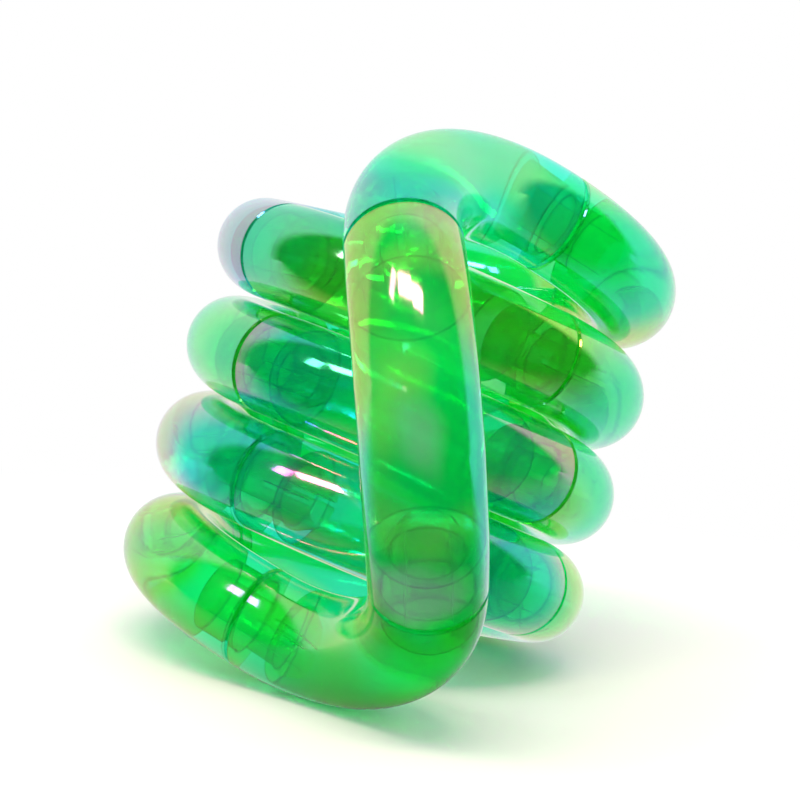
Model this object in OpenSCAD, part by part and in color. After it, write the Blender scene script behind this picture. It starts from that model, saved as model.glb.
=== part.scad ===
// A closed loop of eighteen clear quarter-bend tubes that swivel on snap plugs,
// wound into a left-handed coil with one piece bridging the front rows.

/* [Tube] */
// Outside diameter of the tube
tube_d = 11.2; // [10.6:0.1:12.4]
// Radius of the bend, measured to the middle of the tube
bend_r = 21; // [19:0.5:26]
// Thickness of the shell's wall
wall_t = 0.8; // [0.6:0.05:1.2]
// Bevel on the rim at both ends of a shell
rim_bevel = 0.15; // [0.1:0.05:0.3]

/* [Swivel joint] */
// Gap between the end faces of two neighbouring pieces
seam_gap = 0.35; // [0.25:0.05:0.6]
// Diameter of the plug's stem
stem_d = 6; // [5:0.1:6.4]
// Radial clearance of the stem in its socket
swivel_clear = 0.06; // [0.03:0.01:0.1]
// Length of the collar that the stem turns in
collar_len = 4.6; // [3.4:0.1:5.4]
// How far the snap lip stands out from the stem
lip_h = 0.45; // [0.3:0.05:0.6]
// Length of the tapered lip
lip_len = 2.8; // [2:0.1:3.4]
// End play between the lip and the collar
lip_play = 0.2; // [0.1:0.05:0.4]
// Diameter of the plug's bonded base
base_d = 7.6; // [7:0.1:8.2]
// Length of the plug's bonded base
base_len = 5.2; // [4:0.1:6]
// Thickness of the bonding film round the base
base_film = 0.03; // [0.02:0.01:0.06]
// Bore through the plug
plug_bore = 3.8; // [3:0.1:4.2]
// Width of the slots that let the lip spring inwards
slot_w = 0.6; // [0.4:0.1:1]

/* [Wound pose] */
// Clear gap between neighbouring rows of the coil
row_gap = 0.6; // [0.5:0.1:1]
// How much further than the coil's own joints the joint past an outer front row turns, in degrees
end_extra = 4; // [3:0.25:5]
// How much less than the coil's own joints the joint after that one turns, in degrees
back_less = 4.3; // [3.5:0.1:5.3]

/* [Hidden] */
$fn = 64;
count = 18;
tube_r = tube_d / 2;
hollow_r = tube_r - wall_t;
row_step = tube_d + row_gap;
row_pitch = row_step / cos(asin(row_step / (2 * PI * bend_r)));
socket_d = stem_d + 2 * swivel_clear;
lip_d = stem_d + 2 * lip_h;
lip_z = seam_gap + collar_len + lip_play;
tip_z = lip_z + lip_len;
lip_land = lip_len / 4;
tip_r = stem_d / 2 - lip_h;
slot_z = seam_gap + collar_len / 4;
dish_r = norm([bend_r, tube_r]);
over = 1;
shell_colour = [0.12, 0.74, 0.33, 0.55];
plug_colour = [0.16, 0.66, 0.30, 0.75];

// A place on the middle line is a point, the way along, and the way to the bend's centre.
function along(f, a) = [
    f[0] + bend_r * (sin(a) * f[1] + (1 - cos(a)) * f[2]),
    cos(a) * f[1] + sin(a) * f[2],
    cos(a) * f[2] - sin(a) * f[1]
];
function across(f) = [f[0] + seam_gap * f[1], f[1], f[2]];
function turned(f, w) = [f[0], f[1], cos(w) * f[2] + sin(w) * cross(f[1], f[2])];

// The unknowns of the wound loop: the bend of a piece, three joint turns and the coil's own turn.
function half_turns(x) = concat(
    [-x[4], -x[4], -x[4], -x[4], -x[4] - end_extra, back_less - x[4]],
    [x[1], x[2], x[3]]
);
function loop_turns(x) = let (h = half_turns(x)) concat(h, [for (i = [8:-1:0]) h[i]]);
// Tail of each piece in order, from the middle front row onwards
function tails(x, n) = let (turns = loop_turns(x)) [
    for (i = 0, f = along([[0, 0, 0], [1, 0, 0], [0, 1, 0]], -x[0] / 2);
         i < n;
         f = turned(across(along(f, x[0])), turns[i]), i = i + 1) f
];

// Climb of an even coil over one full turn
function climb(x) = let (
    c = cos(x[0]),
    s = sin(x[0]),
    e = cos(x[4]),
    g = sin(x[4]),
    axis = [g * (1 + c), s * g, s * (1 + e)],
    go = [bend_r * s + seam_gap * c, bend_r * (1 - c) + seam_gap * s, 0],
    turn = acos((c + c * e + e - 1) / 2)
) go * axis / norm(axis) * 360 / turn;

// The half turn about the line through the middle front row maps the loop onto itself,
// so the loop closes when the middle of the bridge lies on that line and faces along it.
function misfit(x) = let (
    bridge = along(tails(x, 10)[9], x[0] / 2),
    p = bridge[0] / bend_r,
    n = bridge[2]
) [p[0], p[2], n[0], n[2], (climb(x) - row_pitch) / bend_r];

function sum(v, i = 0) = i < len(v) ? v[i] + sum(v, i + 1) : 0;
function without(m, j) = [for (r = [1:len(m) - 1]) [for (c = [0:len(m) - 1]) if (c != j) m[r][c]]];
function det(m) = len(m) == 1 ? m[0][0]
    : sum([for (j = [0:len(m) - 1]) (j % 2 == 0 ? 1 : -1) * m[0][j] * det(without(m, j))]);
function nudge(x, j, d) = [for (i = [0:len(x) - 1]) i == j ? x[i] + d : x[i]];
function slopes(x, m) = [for (j = [0:len(x) - 1]) (misfit(nudge(x, j, 0.01)) - m) / 0.01];
// Newton's method, with the slopes stored by unknown and Cramer's rule for each step
function settled(x, rounds) = rounds == 0 ? x : let (
    m = misfit(x),
    k = slopes(x, m),
    d = det(k),
    move = [for (j = [0:len(x) - 1]) det([for (i = [0:len(x) - 1]) i == j ? m : k[i]]) / d]
) settled(x - move, rounds - 1);

wound = settled([92.5, -18, 140, -50, 8], 7);
bend = wound[0];
tail = tails(wound, count);

// The coil stands on the bottom piece, the lowest right-hand piece and the one behind it.
function low_at(f, u) = along(f, max(0, min(bend, atan2(-f[1] * u, f[2] * u))))[0];
function stood(u, rounds) = rounds == 0 ? u : let (
    p = [for (i = [5, 6, 8]) low_at(tail[i], u)],
    n = cross(p[1] - p[0], p[2] - p[0])
) stood(n * sign(n * u) / norm(n), rounds - 1);
up = stood([-0.3, -0.1, 0.95], 8);
back = [0, 1, 0] - up[1] * up;
back_way = back / norm(back);
right_way = cross(back_way, up);
function reach(d) = max([for (f = tail) low_at(f, -d) * d]) + tube_r;
origin = [
    (reach(right_way) - reach(-right_way)) / 2,
    (reach(back_way) - reach(-back_way)) / 2,
    -reach(-up)
];
function level(v) = [v * right_way, v * back_way, v * up];

// Pieces are numbered from the bridge, in the order of the loop.
function place(number) = tail[(number + 8) % count];
function two(number) = str(number < 10 ? "0" : "", number);

module at_piece(number) {
    f = place(number);
    t = level(f[1]);
    n = level(f[2]);
    b = cross(t, n);
    c = level(f[0] + bend_r * f[2]) - origin;
    multmatrix([
        [-n[0], t[0], b[0], c[0]],
        [-n[1], t[1], b[1], c[1]],
        [-n[2], t[2], b[2], c[2]]
    ]) children();
}

// Along the middle line into the tail, and out of the head
module at_tail() {
    translate([bend_r, 0, 0]) rotate([-90, 0, 0]) children();
}

module at_head() {
    rotate([0, 0, bend]) at_tail() children();
}

module rim_cut() {
    rotate_extrude() polygon([
        [tube_r - rim_bevel - over, -over],
        [tube_r + over, -over],
        [tube_r + over, rim_bevel + over]
    ]);
}

// Hollow in the end face that lets the two free ends swing past each other
module end_dish() {
    translate([0, 0, -bend_r]) sphere(r = dish_r);
}

// The hollow between the flat end of the socket's collar and the wall behind the bonded base
module hollow() {
    difference() {
        rotate_extrude(angle = bend) translate([bend_r, 0]) circle(r = hollow_r);
        at_tail() translate([0, 0, -over]) cylinder(r = tube_d, h = collar_len + over);
        at_head() translate([0, 0, -base_len - wall_t]) cylinder(r = tube_d, h = base_len + wall_t + over);
    }
}

module elbow(number) {
    color(shell_colour) at_piece(number) difference() {
        rotate_extrude(angle = bend) translate([bend_r, 0]) circle(r = tube_r);
        hollow();
        at_tail() {
            rim_cut();
            translate([0, 0, -over]) cylinder(d = socket_d, h = collar_len + 2 * over);
            if (number == 2) end_dish();
        }
        at_head() {
            mirror([0, 0, 1]) rim_cut();
            translate([0, 0, -base_len]) cylinder(d = base_d, h = base_len + over);
            if (number == 1) mirror([0, 0, 1]) end_dish();
        }
    }
}

module plug_solid() {
    difference() {
        rotate_extrude() polygon([
            [plug_bore / 2, base_film - base_len],
            [base_d / 2 - base_film, base_film - base_len],
            [base_d / 2 - base_film, 0],
            [stem_d / 2, 0],
            [stem_d / 2, lip_z],
            [lip_d / 2, lip_z],
            [lip_d / 2, lip_z + lip_land],
            [tip_r, tip_z],
            [plug_bore / 2, tip_z]
        ]);
        for (a = [0, 90])
            rotate([0, 0, a])
                translate([-slot_w / 2, -lip_d, slot_z]) cube([slot_w, 2 * lip_d, tip_z - slot_z + over]);
    }
}

module swivel_plug(number) {
    color(plug_colour) at_piece(number) at_head() plug_solid();
}

// The plug at the loop's open joint: its stem stays in the next piece's socket.
module open_stem() {
    color(plug_colour) at_piece(1) at_head() difference() {
        plug_solid();
        translate([0, 0, seam_gap]) end_dish();
        translate([0, 0, -base_len - over]) cylinder(r = tube_r, h = base_len + over + seam_gap);
    }
}

// The base of the same plug stays bonded in its own piece.
module open_base() {
    color(plug_colour) at_piece(1) at_head() difference() {
        plug_solid();
        mirror([0, 0, 1]) end_dish();
        cylinder(r = tube_r, h = tip_z + over);
    }
}

elbow_names = [for (i = [1:count]) str("elbow_", two(i))];
plug_names = [for (i = [1:count]) str("swivel_plug_", two(i))];

for (i = [1:count]) elbow(i);
for (i = [2:count]) swivel_plug(i);
open_stem();  // swivel_plug_01
open_base();  // swivel_plug_01_base
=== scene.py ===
import math

import bpy
from bpy.props import FloatProperty, FloatVectorProperty, PointerProperty
from mathutils import Matrix, Vector


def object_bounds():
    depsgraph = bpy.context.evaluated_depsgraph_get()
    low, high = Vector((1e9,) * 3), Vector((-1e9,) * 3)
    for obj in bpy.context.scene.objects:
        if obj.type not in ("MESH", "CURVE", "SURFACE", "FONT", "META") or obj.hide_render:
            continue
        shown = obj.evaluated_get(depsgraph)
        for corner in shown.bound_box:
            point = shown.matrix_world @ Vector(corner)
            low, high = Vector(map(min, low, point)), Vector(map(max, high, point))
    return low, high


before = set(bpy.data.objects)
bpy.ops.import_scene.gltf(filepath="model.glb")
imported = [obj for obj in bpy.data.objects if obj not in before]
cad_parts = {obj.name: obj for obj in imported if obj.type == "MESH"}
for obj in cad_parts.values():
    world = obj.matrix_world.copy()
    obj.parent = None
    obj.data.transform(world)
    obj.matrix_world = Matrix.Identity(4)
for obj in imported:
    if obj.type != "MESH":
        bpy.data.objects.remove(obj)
CAD_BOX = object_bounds()

bl_info = {
    "name": "Wound tube puzzle",
    "version": (1, 0, 0),
    "blender": (4, 5, 0),
    "location": "View3D > Sidebar > Tube puzzle",
    "description": "Pearl-coated clear plastic for a loop of swivelling tube links, with its stage",
    "category": "Material",
}

MM = 0.001
WHITE = (1.0, 1.0, 1.0, 1.0)

# Camera: picture side in pixels, sensor width in millimetres, nearest and furthest distance in metres
IMAGE_SIDE = 800
SENSOR_WIDTH = 36.0
CLIP_NEAR, CLIP_FAR = 0.01, 50.0

# Ranges of noise over which the colour drifts, smears set in and the pearl coat thickens
DRIFT_SPAN = (0.50, 0.68)
SMEAR_SPAN = (0.54, 0.72)
COAT_SPAN = (0.3, 0.7)
# Keeps the cool drift apart from the warm one
COOL_SHIFT = (0.31, 0.17, 0.53)
NO_SHIFT = (0, 0, 0)

# Ripples left by handling: their depth, their scale against the smears, and their strength on shells and plugs
RIPPLE_DEPTH = 0.02 * MM
RIPPLE_SCALE = 2.4
SHELL_RIPPLE = 0.10
PLUG_RIPPLE = 0.15

# Painted seam shade: a dark colour painted into the base colour near sharp edges, chiefly the rims at the seams,
# where light is trapped; how far it reaches, how sharp the edge has to be there, and its colour
SEAM_SHADE_REACH = 0.6 * MM
SEAM_SHADE_SAMPLES = 4
SEAM_SHADE_TURN = (0.80, 0.97)
SEAM_SHADE_COLOUR = (0.0, 0.05, 0.015, 1.0)

LACQUER_INDEX = 1.6
LACQUER_ROUGHNESS = 0.1

# Stage lengths, in reaches: a reach is the diagonal of the object's box
FLOOR_SIDE = 30
SHADOW_RADIUS = 0.6
LAMP_DISTANCE = 5.0
# In shadow radii: where the floor is plain white, and where it turns from dim to bright in gloss
PLAIN_FROM = 2.2
TURN_SPAN = (-0.5, 0.5)
FLOOR_ROUGHNESS = 0.9
# The same turn in the surroundings, by how far a way points to the back
SKY_TURN_SPAN = (0.0, 0.2)
# Azimuth and elevation in degrees, width and height in reaches, and colour
LAMPS = {
    "key": (-12, 55, (3.2, 0.9), (1.0, 0.91, 0.68)),
    "side": (-52, 47, (0.6, 1.2), (1.0, 0.95, 0.97)),
}

# Links by the tint that their pearl coat shows, numbered from the bridging link
COAT_TINTS = {
    "rose": (10, 13, 14),
    "sea": (2,),
    "dawn": (1,),
    "leaf": (3, 4, 8, 12, 15, 16, 17, 18),
    "gold": (6, 7, 9, 11),
    "sky": (5,),
}

# Tint of the lacquer over each coat
EDGE_TINTS = {
    "rose": (0.96, 0.93, 1.0),
    "sea": (0.72, 1.0, 0.94),
    "dawn": (0.86, 1.0, 0.92),
    "leaf": (0.86, 1.0, 0.92),
    "gold": (0.98, 1.0, 0.84),
    "sky": (0.80, 0.94, 1.0),
}


class ShellFinish(bpy.types.PropertyGroup):
    """The clear shells and their pearl coat."""

    emerald: FloatVectorProperty(
        name="Emerald", description="Main colour of the plastic", subtype="COLOR",
        size=3, min=0.0, max=1.0, default=(0.002, 0.98, 0.19))
    lime: FloatVectorProperty(
        name="Lime", description="Warm drift of the plastic", subtype="COLOR",
        size=3, min=0.0, max=1.0, default=(0.06, 0.98, 0.08))
    teal: FloatVectorProperty(
        name="Teal", description="Cool drift of the plastic", subtype="COLOR",
        size=3, min=0.0, max=1.0, default=(0.002, 0.98, 0.48))
    azure: FloatVectorProperty(
        name="Azure", description="Blue drift of the plastic", subtype="COLOR",
        size=3, min=0.0, max=1.0, default=(0.03, 0.74, 0.60))
    straw: FloatVectorProperty(
        name="Straw", description="Yellow drift of the bridging link", subtype="COLOR",
        size=3, min=0.0, max=1.0, default=(0.50, 0.97, 0.22))
    pearl: FloatVectorProperty(
        name="Pearl", description="Pale drift of the bridging link", subtype="COLOR",
        size=3, min=0.0, max=1.0, default=(0.55, 0.80, 0.78))
    drift_size: FloatProperty(
        name="Drift size", description="Length over which the colour drifts", unit="LENGTH",
        min=0.004, max=0.08, default=0.014)
    refraction: FloatProperty(
        name="Refraction", description="Bending of light that a thin shell leaves, as an index of refraction",
        min=1.0, max=1.8, default=1.08)
    roughness: FloatProperty(
        name="Roughness", description="Roughness of the polished mould", subtype="FACTOR",
        min=0.0, max=0.3, default=0.09)
    clarity: FloatProperty(
        name="Clarity", description="Share of light that goes through and isn't scattered", subtype="FACTOR",
        min=0.0, max=1.0, default=0.84)
    dawn_clarity: FloatProperty(
        name="Dawn clarity", description="Clarity of the bridging link, whose pale places scatter more",
        subtype="FACTOR", min=0.0, max=1.0, default=0.76)
    dawn_shift: FloatVectorProperty(
        name="Dawn shift", description="Moves the drift of the bridging link", subtype="TRANSLATION",
        unit="LENGTH", size=3, default=(0.03, 0.13, 0.09))
    lacquer: FloatProperty(
        name="Lacquer", description="Strength of the clear lacquer over the pearl coat", subtype="FACTOR",
        min=0.0, max=1.0, default=0.7)
    coat_index: FloatProperty(
        name="Coat index", description="Index of refraction of the pearl coat", min=1.0, max=2.6, default=2.0)
    coat_drift: FloatProperty(
        name="Coat drift", description="Share by which the pearl coat's thickness drifts", subtype="FACTOR",
        min=0.0, max=0.5, default=0.11)
    coat_patch: FloatProperty(
        name="Coat patch", description="Length over which the pearl coat's thickness drifts", unit="LENGTH",
        min=0.004, max=0.08, default=0.018)
    coat_rose: FloatProperty(
        name="Rose coat", description="Thickness of the rose coat in nanometres", min=0.0, max=1000.0, default=296.0)
    coat_sea: FloatProperty(
        name="Sea coat", description="Thickness of the sea coat in nanometres", min=0.0, max=1000.0, default=354.0)
    coat_dawn: FloatProperty(
        name="Dawn coat", description="Thickness of the dawn coat in nanometres", min=0.0, max=1000.0, default=148.0)
    coat_leaf: FloatProperty(
        name="Leaf coat", description="Thickness of the leaf coat in nanometres", min=0.0, max=1000.0, default=148.0)
    coat_gold: FloatProperty(
        name="Gold coat", description="Thickness of the gold coat in nanometres", min=0.0, max=1000.0, default=209.0)
    coat_sky: FloatProperty(
        name="Sky coat", description="Thickness of the sky coat in nanometres", min=0.0, max=1000.0, default=330.0)


class PlugFinish(bpy.types.PropertyGroup):
    """The swivel plugs inside the joints."""

    colour: FloatVectorProperty(
        name="Colour", description="Main colour of the plug", subtype="COLOR",
        size=3, min=0.0, max=1.0, default=(0.40, 0.97, 0.55))
    thick_colour: FloatVectorProperty(
        name="Thick colour", description="Colour where the plug is thick", subtype="COLOR",
        size=3, min=0.0, max=1.0, default=(0.30, 0.94, 0.45))
    roughness: FloatProperty(
        name="Roughness", description="Roughness of the unpolished mould", subtype="FACTOR",
        min=0.0, max=0.5, default=0.06)
    clarity: FloatProperty(
        name="Clarity", description="Share of light that goes through and isn't scattered", subtype="FACTOR",
        min=0.0, max=1.0, default=0.95)
    refraction: FloatProperty(
        name="Refraction", description="Bending of light at the plug, as an index of refraction",
        min=1.0, max=1.8, default=1.015)


class StageSettings(bpy.types.PropertyGroup):
    """Floor, light and camera."""

    eye: FloatVectorProperty(
        name="Eye", description="Place of the camera", subtype="TRANSLATION", unit="LENGTH",
        size=3, default=(-6.445 * MM, -184.361 * MM, 44.129 * MM))
    pan: FloatProperty(
        name="Pan", description="Turn of the camera to the right", subtype="ANGLE", default=math.radians(1.80))
    tilt: FloatProperty(
        name="Tilt", description="Turn of the camera upwards", subtype="ANGLE", default=math.radians(-4.145))
    roll: FloatProperty(
        name="Roll", description="Lean of the camera to the right", subtype="ANGLE", default=math.radians(-5.218))
    focal_px: FloatProperty(
        name="Focal length", description="Focal length in pixels of the square picture", min=400.0, max=8000.0,
        default=1692.7)
    floor_colour: FloatVectorProperty(
        name="Floor", description="Colour of the floor", subtype="COLOR",
        size=3, min=0.0, max=1.0, default=(0.82, 0.82, 0.82))
    sky_level: FloatProperty(
        name="Sky level", description="Light of the surroundings on matt surfaces", min=0.0, max=2.0, default=1.05)
    front_level: FloatProperty(
        name="Front level", description="How bright the room in front is in gloss and through plastic",
        min=0.0, max=1.0, default=0.01)
    back_level: FloatProperty(
        name="Back level", description="How bright the room behind is in gloss and through plastic",
        min=0.0, max=1.0, default=0.90)
    key_power: FloatProperty(
        name="Key lamp", description="Power of the warm lamp above the camera", unit="POWER", min=0.0, default=2.7)
    side_power: FloatProperty(
        name="Side lamp", description="Power of the lamp at the upper left", unit="POWER", min=0.0, default=0.35)


class NodeBench:
    """A node tree with short calls to add and wire nodes."""

    def __init__(self, tree):
        self.tree = tree
        self.tree.nodes.clear()

    def add(self, kind, settings=None, **inputs):
        node = self.tree.nodes.new(kind)
        for name, value in (settings or {}).items():
            setattr(node, name, value)
        for name, value in inputs.items():
            self.feed(node, name.replace("_", " "), value)
        return node

    def feed(self, node, socket, value):
        target = node.inputs[socket] if isinstance(socket, str) else socket
        if isinstance(value, bpy.types.NodeSocket):
            self.tree.links.new(value, target)
        else:
            target.default_value = value

    def math(self, operation, first, second):
        node = self.add("ShaderNodeMath", {"operation": operation})
        self.feed(node, node.inputs[0], first)
        self.feed(node, node.inputs[1], second)
        return node.outputs[0]

    def mix_colour(self, factor, first, second):
        node = self.add("ShaderNodeMix", {"data_type": "RGBA"})
        self.feed(node, node.inputs[0], factor)
        self.feed(node, node.inputs[6], first)
        self.feed(node, node.inputs[7], second)
        return node.outputs[2]

    def remap(self, value, low, high, to_low=0.0, to_high=1.0):
        node = self.add("ShaderNodeMapRange", {"interpolation_type": "SMOOTHSTEP"})
        self.feed(node, "Value", value)
        self.feed(node, "From Min", low)
        self.feed(node, "From Max", high)
        self.feed(node, "To Min", to_low)
        self.feed(node, "To Max", to_high)
        return node.outputs["Result"]


def new_group(name, inputs, outputs):
    """An empty shader node group with named sockets, as (group, bench, input node, output node)."""
    group = bpy.data.node_groups.new(name, "ShaderNodeTree")
    for label, kind, default in inputs:
        socket = group.interface.new_socket(label, in_out="INPUT", socket_type=kind)
        socket.default_value = default
    for label, kind in outputs:
        group.interface.new_socket(label, in_out="OUTPUT", socket_type=kind)
    bench = NodeBench(group)
    return group, bench, bench.add("NodeGroupInput"), bench.add("NodeGroupOutput")


def colour_drift_group():
    """Slow drift of a clear plastic between a main, a warm and a cool colour."""
    name = "Colour drift"
    if name in bpy.data.node_groups:
        return bpy.data.node_groups[name]
    colour = "NodeSocketColor"
    group, bench, given, made = new_group(
        name,
        (("Main", colour, (0, 1, 0, 1)), ("Warm", colour, (1, 1, 0, 1)), ("Cool", colour, (0, 1, 1, 1)),
         ("Scale", "NodeSocketFloat", 40.0), ("Shift", "NodeSocketVector", NO_SHIFT)),
        (("Colour", colour),))
    moved = bench.add("ShaderNodeVectorMath", {"operation": "ADD"})
    bench.feed(moved, moved.inputs[0], bench.add("ShaderNodeTexCoord").outputs["Object"])
    bench.feed(moved, moved.inputs[1], given.outputs["Shift"])
    place = moved.outputs[0]
    warm_noise = bench.add("ShaderNodeTexNoise", Vector=place, Scale=given.outputs["Scale"], Detail=1.5)
    shifted = bench.add("ShaderNodeVectorMath", {"operation": "ADD"})
    bench.feed(shifted, shifted.inputs[0], place)
    bench.feed(shifted, shifted.inputs[1], COOL_SHIFT)
    cool_noise = bench.add(
        "ShaderNodeTexNoise", Vector=shifted.outputs[0], Scale=given.outputs["Scale"], Detail=1.5)
    warm = bench.remap(warm_noise.outputs["Fac"], *DRIFT_SPAN)
    cool = bench.remap(cool_noise.outputs["Fac"], *DRIFT_SPAN)
    warmed = bench.mix_colour(warm, given.outputs["Main"], given.outputs["Warm"])
    bench.feed(made, "Colour", bench.mix_colour(cool, warmed, given.outputs["Cool"]))
    return group


def handling_group():
    """Faint smears and ripples that handling leaves on polished plastic."""
    name = "Handling marks"
    if name in bpy.data.node_groups:
        return bpy.data.node_groups[name]
    value = "NodeSocketFloat"
    group, bench, given, made = new_group(
        name,
        (("Roughness", value, 0.02), ("Smear", value, 0.03), ("Scale", value, 160.0)),
        (("Roughness", value), ("Height", value)))
    place = bench.add("ShaderNodeTexCoord").outputs["Object"]
    smear = bench.add("ShaderNodeTexNoise", Vector=place, Scale=given.outputs["Scale"], Detail=4.0)
    smear_mask = bench.remap(smear.outputs["Fac"], *SMEAR_SPAN)
    ripple_scale = bench.math("MULTIPLY", given.outputs["Scale"], RIPPLE_SCALE)
    ripple = bench.add("ShaderNodeTexNoise", Vector=place, Scale=ripple_scale, Detail=2.0)
    smeared = bench.math("MULTIPLY", smear_mask, given.outputs["Smear"])
    bench.feed(made, "Roughness", bench.math("ADD", given.outputs["Roughness"], smeared))
    bench.feed(made, "Height", ripple.outputs["Fac"])
    return group


def new_material(name):
    material = bpy.data.materials.new(name)
    material.use_nodes = True
    return material, NodeBench(material.node_tree)


def clear_plastic(name, colours, drift_size, roughness, refraction, clarity, ripple, film=None, shift=NO_SHIFT):
    """Clear moulded plastic; film holds the values of its pearl coat, if it has one."""
    material, bench = new_material(name)
    out = bench.add("ShaderNodeOutputMaterial")
    drift = bench.add("ShaderNodeGroup", {"node_tree": colour_drift_group()})
    for label, colour in zip(("Main", "Warm", "Cool"), colours):
        bench.feed(drift, label, (*colour, 1.0))
    bench.feed(drift, "Scale", 1.0 / drift_size)
    bench.feed(drift, "Shift", shift)
    marks = bench.add("ShaderNodeGroup", {"node_tree": handling_group()}, Roughness=roughness)
    bump = bench.add("ShaderNodeBump", Strength=ripple, Distance=RIPPLE_DEPTH, Height=marks.outputs["Height"])
    shell = bench.add(
        "ShaderNodeBsdfPrincipled", Base_Color=drift.outputs["Colour"], Roughness=marks.outputs["Roughness"],
        Normal=bump.outputs["Normal"], IOR=refraction, Transmission_Weight=clarity)
    if not film:
        bench.feed(out, "Surface", shell.outputs["BSDF"])
        return material
    # Painted shade: near sharp edges, chiefly the rims at the seams, the base colour turns dark to stand in for the
    # shade where light is trapped in the seams.
    surface = bench.add("ShaderNodeNewGeometry")
    rounded = bench.add("ShaderNodeBevel", {"samples": SEAM_SHADE_SAMPLES}, Radius=SEAM_SHADE_REACH)
    turn = bench.add("ShaderNodeVectorMath", {"operation": "DOT_PRODUCT"})
    bench.feed(turn, turn.inputs[0], rounded.outputs["Normal"])
    bench.feed(turn, turn.inputs[1], surface.outputs["Normal"])
    painted_seam_shade = bench.remap(turn.outputs["Value"], *SEAM_SHADE_TURN, 1.0, 0.0)
    bench.feed(shell, "Base Color", bench.mix_colour(painted_seam_shade, drift.outputs["Colour"], SEAM_SHADE_COLOUR))
    place = bench.add("ShaderNodeTexCoord").outputs["Object"]
    patches = bench.add("ShaderNodeTexNoise", Vector=place, Scale=1.0 / film["patch"], Detail=0.0)
    thickness = bench.remap(patches.outputs["Fac"], *COAT_SPAN, film["thinnest"], film["thickest"])
    bench.feed(shell, "Thin Film Thickness", thickness)
    bench.feed(shell, "Thin Film IOR", film["index"])
    bench.feed(shell, "Coat Weight", film["lacquer"])
    bench.feed(shell, "Coat IOR", LACQUER_INDEX)
    bench.feed(shell, "Coat Roughness", LACQUER_ROUGHNESS)
    bench.feed(shell, "Coat Tint", (*film["tint"], 1.0))
    # Light that leaves the wall again goes on unchanged: a thin wall bends it back.
    leaving = bench.add("ShaderNodeBsdfTransparent")
    mix = bench.add("ShaderNodeMixShader")
    bench.feed(mix, mix.inputs[0], surface.outputs["Backfacing"])
    bench.feed(mix, mix.inputs[1], shell.outputs["BSDF"])
    bench.feed(mix, mix.inputs[2], leaving.outputs["BSDF"])
    bench.feed(out, "Surface", mix.outputs["Shader"])
    return material


def dress(node, material):
    """Gives a CAD node its finish."""
    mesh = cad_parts[node].data
    mesh.materials.clear()
    mesh.materials.append(material)


class PUZZLE_OT_elbows(bpy.types.Operator):
    """Gives the tube links their clear plastic and pearl coat"""

    bl_idname = "tube_puzzle.elbows"
    bl_label = "Finish the tube links"

    def execute(self, context):
        look = context.scene.tube_shell
        shades = (look.emerald, look.lime, look.teal, look.azure, look.straw, look.pearl)
        emerald, lime, teal, azure, straw, pearl = (tuple(shade) for shade in shades)
        colours = {
            "rose": (teal, emerald, azure),
            "sea": (teal, emerald, teal),
            "dawn": (emerald, straw, pearl),
            "leaf": (emerald, lime, teal),
            "gold": (lime, emerald, lime),
            "sky": (azure, teal, azure),
        }
        for tint, links in COAT_TINTS.items():
            thickness = getattr(look, "coat_" + tint)
            film = {
                "index": look.coat_index,
                "thinnest": thickness * (1.0 - look.coat_drift),
                "thickest": thickness * (1.0 + look.coat_drift),
                "patch": look.coat_patch,
                "lacquer": look.lacquer,
                "tint": EDGE_TINTS[tint],
            }
            bridging = tint == "dawn"
            material = clear_plastic(
                "clear_shell_" + tint, colours[tint], look.drift_size, look.roughness, look.refraction,
                look.dawn_clarity if bridging else look.clarity, SHELL_RIPPLE, film,
                tuple(look.dawn_shift) if bridging else NO_SHIFT)
            for number in links:
                dress(f"elbow_{number:02d}", material)
        return {"FINISHED"}


class PUZZLE_OT_plugs(bpy.types.Operator):
    """Gives the swivel plugs their clear plastic"""

    bl_idname = "tube_puzzle.plugs"
    bl_label = "Finish the swivel plugs"

    def execute(self, context):
        look = context.scene.tube_plug
        shell = context.scene.tube_shell
        colours = (tuple(look.colour), tuple(look.thick_colour), tuple(look.thick_colour))
        material = clear_plastic(
            "clear_plug", colours, shell.drift_size, look.roughness, look.refraction, look.clarity, PLUG_RIPPLE)
        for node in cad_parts:
            if node.startswith("swivel_plug"):
                dress(node, material)
        return {"FINISHED"}


def in_gloss(bench, path, level):
    """Full strength, but the given level in gloss; light through clear plastic counts as gloss too."""
    dimmed = bench.math("SUBTRACT", 1.0, level)
    return bench.math("SUBTRACT", 1.0, bench.math("MULTIPLY", path.outputs["Is Glossy Ray"], dimmed))


def floor_material(look, clear_radius):
    """A pale floor that keeps the shadow near the object and is plain white further out."""
    material, bench = new_material("pale_floor")
    out = bench.add("ShaderNodeOutputMaterial")
    matt = bench.add("ShaderNodeBsdfPrincipled", Base_Color=(*look.floor_colour, 1.0), Roughness=FLOOR_ROUGHNESS)
    path = bench.add("ShaderNodeLightPath")
    place = bench.add("ShaderNodeTexCoord").outputs["Object"]
    way = bench.add("ShaderNodeSeparateXYZ", Vector=place)
    turn_from, turn_to = (clear_radius * share for share in TURN_SPAN)
    behind = bench.remap(way.outputs["Y"], turn_from, turn_to, look.front_level, look.back_level)
    white = bench.add("ShaderNodeEmission", Color=WHITE, Strength=in_gloss(bench, path, behind))
    span = bench.add("ShaderNodeVectorMath", {"operation": "LENGTH"})
    bench.feed(span, span.inputs[0], place)
    far = bench.remap(span.outputs["Value"], clear_radius, PLAIN_FROM * clear_radius)
    seen_far = bench.math("MULTIPLY", path.outputs["Is Camera Ray"], far)
    seen_through = bench.math("MAXIMUM", path.outputs["Is Glossy Ray"], path.outputs["Is Transmission Ray"])
    plain = bench.math("MAXIMUM", seen_far, seen_through)
    mix = bench.add("ShaderNodeMixShader")
    bench.feed(mix, mix.inputs[0], plain)
    bench.feed(mix, mix.inputs[1], matt.outputs["BSDF"])
    bench.feed(mix, mix.inputs[2], white.outputs["Emission"])
    bench.feed(out, "Surface", mix.outputs["Shader"])
    return material


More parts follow.
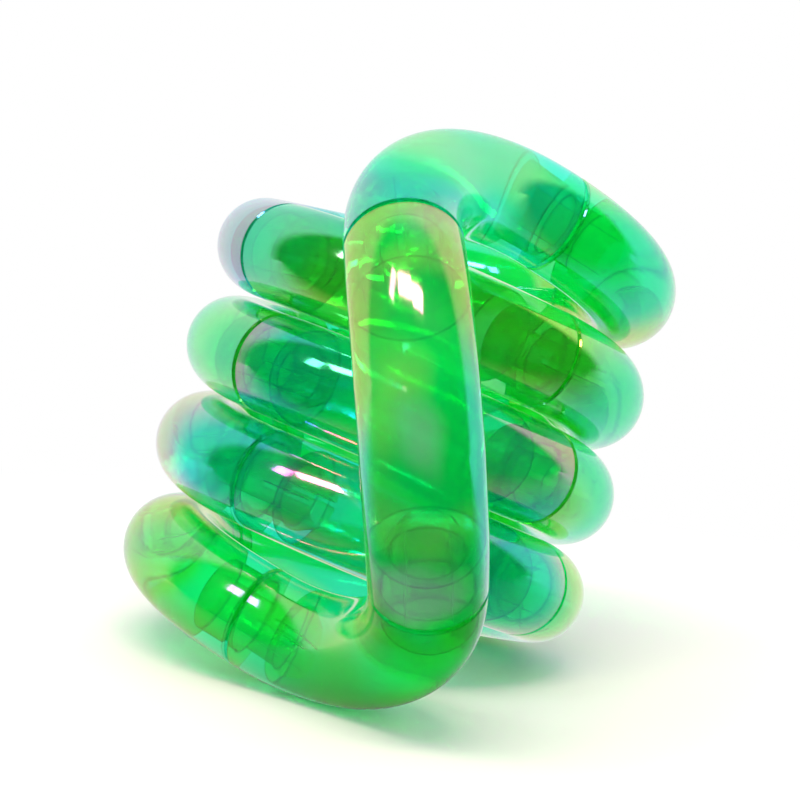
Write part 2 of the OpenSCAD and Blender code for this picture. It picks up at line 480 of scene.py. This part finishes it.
def white_world(level, front_level, back_level):
    """White to the eye, white with a dim room in front for gloss, and plain soft light on matt surfaces."""
    world = bpy.data.worlds.new("studio")
    world.use_nodes = True
    bench = NodeBench(world.node_tree)
    out = bench.add("ShaderNodeOutputWorld")
    path = bench.add("ShaderNodeLightPath")
    seen = bench.math("MAXIMUM", path.outputs["Is Camera Ray"], path.outputs["Is Glossy Ray"])
    seen = bench.math("MAXIMUM", seen, path.outputs["Is Transmission Ray"])
    soft = bench.add("ShaderNodeBackground", Color=WHITE, Strength=level)
    way = bench.add("ShaderNodeSeparateXYZ", Vector=bench.add("ShaderNodeTexCoord").outputs["Generated"])
    behind = bench.remap(way.outputs["Y"], *SKY_TURN_SPAN, front_level, back_level)
    white = bench.add("ShaderNodeBackground", Color=WHITE, Strength=in_gloss(bench, path, behind))
    mix = bench.add("ShaderNodeMixShader")
    bench.feed(mix, mix.inputs[0], seen)
    bench.feed(mix, mix.inputs[1], soft.outputs["Background"])
    bench.feed(mix, mix.inputs[2], white.outputs["Background"])
    bench.feed(out, "Surface", mix.outputs["Shader"])
    return world


def area_lamp(name, aim, distance, azimuth, elevation, spread, power, colour):
    """A lamp panel of a given width and height that faces a point; azimuth counts to the right of the front."""
    turn, rise = math.radians(azimuth), math.radians(elevation)
    way = Vector((math.sin(turn) * math.cos(rise), -math.cos(turn) * math.cos(rise), math.sin(rise)))
    data = bpy.data.lights.new(name, "AREA")
    data.shape = "RECTANGLE"
    data.size, data.size_y = spread
    data.energy = power
    data.color = colour
    lamp = bpy.data.objects.new(name, data)
    lamp.location = aim + distance * way
    lamp.rotation_euler = (-way).to_track_quat("-Z", "Y").to_euler()
    bpy.context.scene.collection.objects.link(lamp)


def photo_camera(look):
    """The camera at its own place, turned by pan, tilt and roll."""
    data = bpy.data.cameras.new("camera")
    data.sensor_width = SENSOR_WIDTH
    data.lens = data.sensor_width * look.focal_px / IMAGE_SIDE
    data.clip_start = CLIP_NEAR
    data.clip_end = CLIP_FAR
    camera = bpy.data.objects.new("camera", data)
    ahead = Vector((
        math.sin(look.pan) * math.cos(look.tilt), math.cos(look.pan) * math.cos(look.tilt), math.sin(look.tilt)))
    level = ahead.cross(Vector((0, 0, 1))).normalized()
    upright = level.cross(ahead)
    up = math.cos(look.roll) * upright + math.sin(look.roll) * level
    turn = Matrix((ahead.cross(up), up, -ahead)).transposed()
    camera.matrix_world = Matrix.Translation(Vector(look.eye)) @ turn.to_4x4()
    bpy.context.scene.collection.objects.link(camera)
    return camera


class PUZZLE_OT_stage(bpy.types.Operator):
    """Makes the floor, the lamps, the surroundings and the camera"""

    bl_idname = "tube_puzzle.stage"
    bl_label = "Set the stage"

    def execute(self, context):
        look = context.scene.tube_stage
        low, high = CAD_BOX
        middle = (low + high) / 2
        reach = (high - low).length
        mesh = bpy.data.meshes.new("floor")
        side = FLOOR_SIDE * reach
        mesh.from_pydata(
            [(-side, -side, 0), (side, -side, 0), (side, side, 0), (-side, side, 0)], [], [(0, 1, 2, 3)])
        floor = bpy.data.objects.new("floor", mesh)
        floor.data.materials.append(floor_material(look, SHADOW_RADIUS * reach))
        context.scene.collection.objects.link(floor)
        context.scene.world = white_world(look.sky_level, look.front_level, look.back_level)
        for name, (azimuth, elevation, spread, colour) in LAMPS.items():
            power = getattr(look, name + "_power")
            size = reach * Vector(spread)
            area_lamp(name + "_lamp", middle, LAMP_DISTANCE * reach, azimuth, elevation, size, power, colour)
        context.scene.camera = photo_camera(look)
        context.scene.view_settings.view_transform = "Standard"
        return {"FINISHED"}


class PUZZLE_PT_panel(bpy.types.Panel):
    """Sizes, colours and steps of the wound tube puzzle"""

    bl_idname = "PUZZLE_PT_panel"
    bl_label = "Wound tube puzzle"
    bl_space_type = "VIEW_3D"
    bl_region_type = "UI"
    bl_category = "Tube puzzle"

    def draw(self, context):
        for group in (context.scene.tube_shell, context.scene.tube_plug, context.scene.tube_stage):
            box = self.layout.box()
            for name in group.bl_rna.properties.keys():
                if name not in ("rna_type", "name"):
                    box.prop(group, name)
        for step in STEPS:
            self.layout.operator(step.bl_idname)


STEPS = (PUZZLE_OT_stage, PUZZLE_OT_elbows, PUZZLE_OT_plugs)
GROUPS = {"tube_shell": ShellFinish, "tube_plug": PlugFinish, "tube_stage": StageSettings}
CLASSES = (*GROUPS.values(), *STEPS, PUZZLE_PT_panel)


def register():
    for cls in CLASSES:
        bpy.utils.register_class(cls)
    for name, group in GROUPS.items():
        setattr(bpy.types.Scene, name, PointerProperty(type=group))


def unregister():
    for name in GROUPS:
        delattr(bpy.types.Scene, name)
    for cls in reversed(CLASSES):
        bpy.utils.unregister_class(cls)


def main():
    register()
    bpy.ops.tube_puzzle.stage()
    bpy.ops.tube_puzzle.elbows()
    bpy.ops.tube_puzzle.plugs()


if __name__ == "__main__":
    main()
